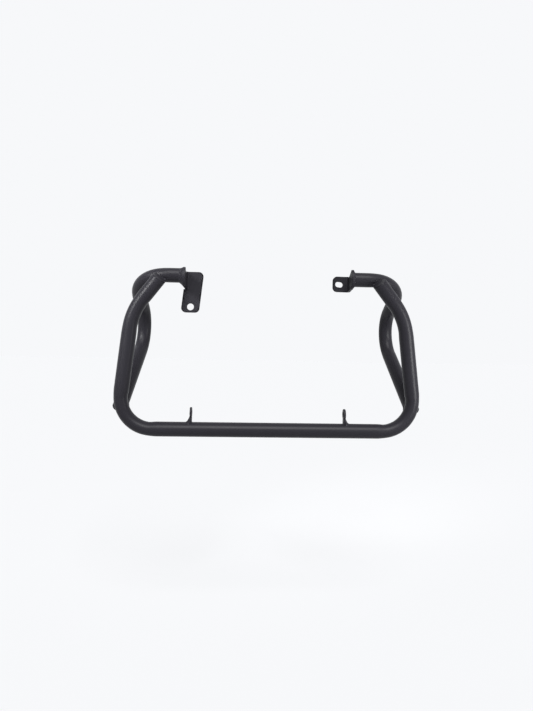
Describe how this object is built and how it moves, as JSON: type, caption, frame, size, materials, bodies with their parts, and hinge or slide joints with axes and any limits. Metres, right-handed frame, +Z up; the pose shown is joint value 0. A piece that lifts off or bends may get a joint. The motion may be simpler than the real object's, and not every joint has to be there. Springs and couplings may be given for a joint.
{
  "type": "motorcycle crash bar",
  "caption": "Bent tube crash bar frame that goes round a motorcycle engine, with welded side braces, upper bracket plates and lower mounting tabs.",
  "frame": {"origin": "middle of the bolt line through the two lower tabs", "axes": "+Z up, +X to the right of the hoop as seen from its front, +Y from the hoop back towards the side braces; the hoop stands in the plane y = 0"},
  "size_m": [0.5348, 0.1421, 0.2949],
  "materials": {
    "tube_coat": "satin black powder coat on bent steel tube",
    "plate_coat": "satin black powder coat on flat steel plate",
    "weld_coat": "satin black powder coat over weld bead"
  },
  "bodies": {
    "root": {"hoop_tube": "tube_coat", "left_brace_tube": "tube_coat", "right_brace_tube": "tube_coat", "left_bracket_plate": "plate_coat", "right_bracket_plate": "plate_coat", "left_lower_tab": "plate_coat", "right_lower_tab": "plate_coat", "left_arm_weld": "weld_coat", "right_arm_weld": "weld_coat", "left_foot_weld": "weld_coat", "right_foot_weld": "weld_coat", "left_flange_weld": "weld_coat", "right_flange_weld": "weld_coat", "left_tab_weld": "weld_coat", "right_tab_weld": "weld_coat"}
  },
  "joints": []
}
